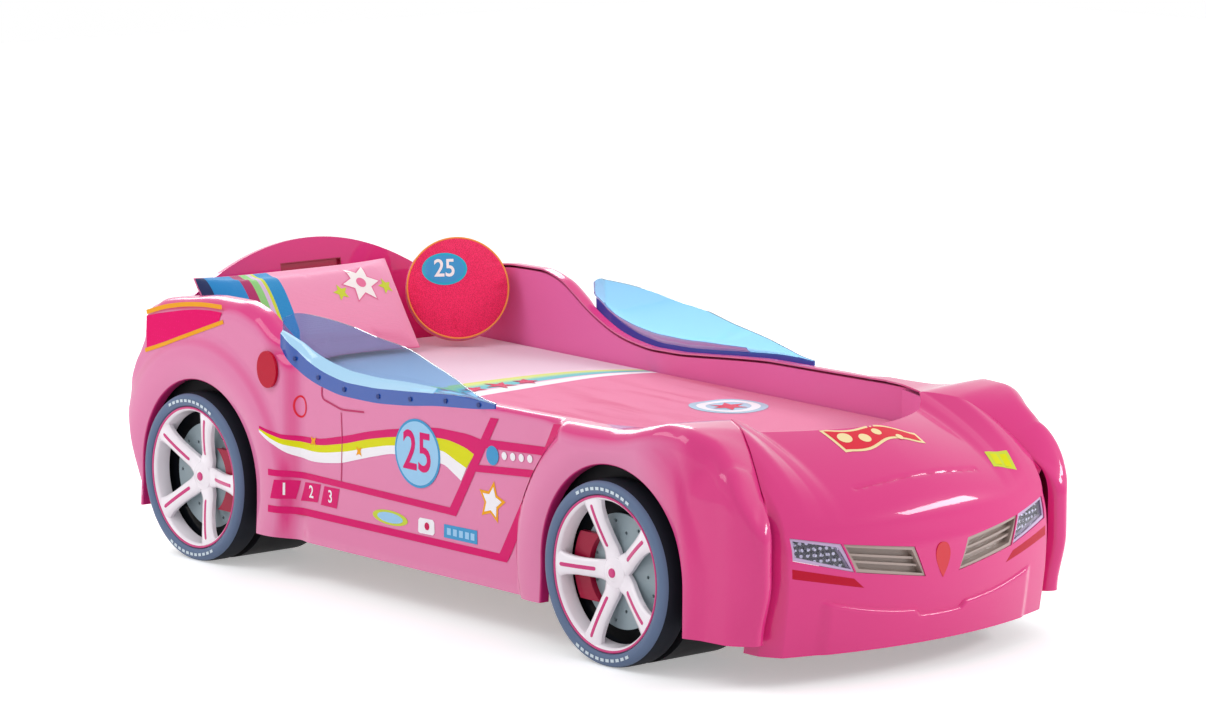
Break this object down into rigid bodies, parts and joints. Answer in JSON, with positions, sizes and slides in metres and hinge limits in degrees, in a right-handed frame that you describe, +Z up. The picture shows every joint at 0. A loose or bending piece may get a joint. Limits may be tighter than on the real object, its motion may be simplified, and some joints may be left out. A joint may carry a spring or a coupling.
{
  "type": "child's car bed",
  "caption": "Low single bed for a child in the shape of a sports car, with moulded sides, wheels, windows, slatted base, mattress, spread and cushions.",
  "frame": {"origin": "centre of the bounding box at floor level", "axes": "+X towards the nose (foot end), +Y towards the left side of the car, +Z up"},
  "size_m": [2.3521, 1.076, 0.724],
  "materials": {
    "body_pink": "glossy moulded skin",
    "slot_red": "glossy",
    "window_blue": "clear tinted acrylic",
    "screw_dark": "satin",
    "tyre_black": "satin rubber",
    "rim_white": "glossy",
    "disc_grey": "satin",
    "caliper_red": "glossy",
    "liner_black": "matte",
    "lamp_chrome": "polished",
    "led_dark": "satin",
    "lens_clear": "clear",
    "grille_beige": "satin",
    "marker_red": "glossy",
    "base_wood": "lacquered",
    "mattress_cloth": "woven ticking",
    "spread_pink": "woven cotton",
    "pillow_pink": "woven cotton",
    "cushion_red": "textured knit"
  },
  "bodies": {
    "bedstead": {"cross_beams": "base_wood", "foot_bearer": "base_wood", "foot_deck": "base_wood", "foot_end_wall": "body_pink", "front_arch_liner_left": "liner_black", "front_arch_liner_right": "liner_black", "front_badge": "marker_red", "front_brake_disc_left": "disc_grey", "front_brake_disc_right": "disc_grey", "front_caliper_left": "caliper_red", "front_caliper_right": "caliper_red", "front_moulding": "body_pink", "front_rim_left": "rim_white", "front_rim_right": "rim_white", "front_tyre_left": "tyre_black", "front_tyre_right": "tyre_black", "front_wheel_foot_left": "liner_black", "front_wheel_foot_right": "liner_black", "grille_insert_left": "grille_beige", "grille_insert_right": "grille_beige", "headboard": "body_pink", "headboard_slot": "slot_red", "headlamp_housing_left": "lamp_chrome", "headlamp_housing_right": "lamp_chrome", "headlamp_lens_left": "lens_clear", "headlamp_lens_right": "lens_clear", "lamp_inlet": "liner_black", "led_board_left": "led_dark", "led_board_right": "led_dark", "marker_strip_left": "marker_red", "marker_strip_right": "marker_red", "rear_arch_liner_left": "liner_black", "rear_arch_liner_right": "liner_black", "rear_brake_disc_left": "disc_grey", "rear_brake_disc_right": "disc_grey", "rear_caliper_left": "caliper_red", "rear_caliper_right": "caliper_red", "rear_rim_left": "rim_white", "rear_rim_right": "rim_white", "rear_tyre_left": "tyre_black", "rear_tyre_right": "tyre_black", "rear_wheel_foot_left": "liner_black", "rear_wheel_foot_right": "liner_black", "reflector_left": "marker_red", "reflector_right": "marker_red", "side_board_left": "body_pink", "side_board_right": "body_pink", "side_panel_left": "body_pink", "side_panel_right": "body_pink", "side_window_left": "window_blue", "side_window_right": "window_blue", "slat_rails": "base_wood", "slats": "base_wood", "tail_panel": "body_pink", "wheel_bolts": "screw_dark", "window_screws": "screw_dark"},
    "bedding": {"mattress": "mattress_cloth", "bedspread": "spread_pink"},
    "pillow": {"pillow": "pillow_pink"},
    "round_cushion": {"round_cushion": "cushion_red"}
  },
  "joints": [
    {"name": "mattress_lift", "type": "slide", "parent": "bedstead", "child": "bedding", "axis": [0, 0, 1], "range_m": [0, 0.35]},
    {"name": "pillow_lift", "type": "slide", "parent": "bedding", "child": "pillow", "axis": [0, 0, 1], "range_m": [0, 0.3]},
    {"name": "cushion_lift", "type": "slide", "parent": "bedding", "child": "round_cushion", "axis": [0, 0, 1], "range_m": [0, 0.3]}
  ]
}
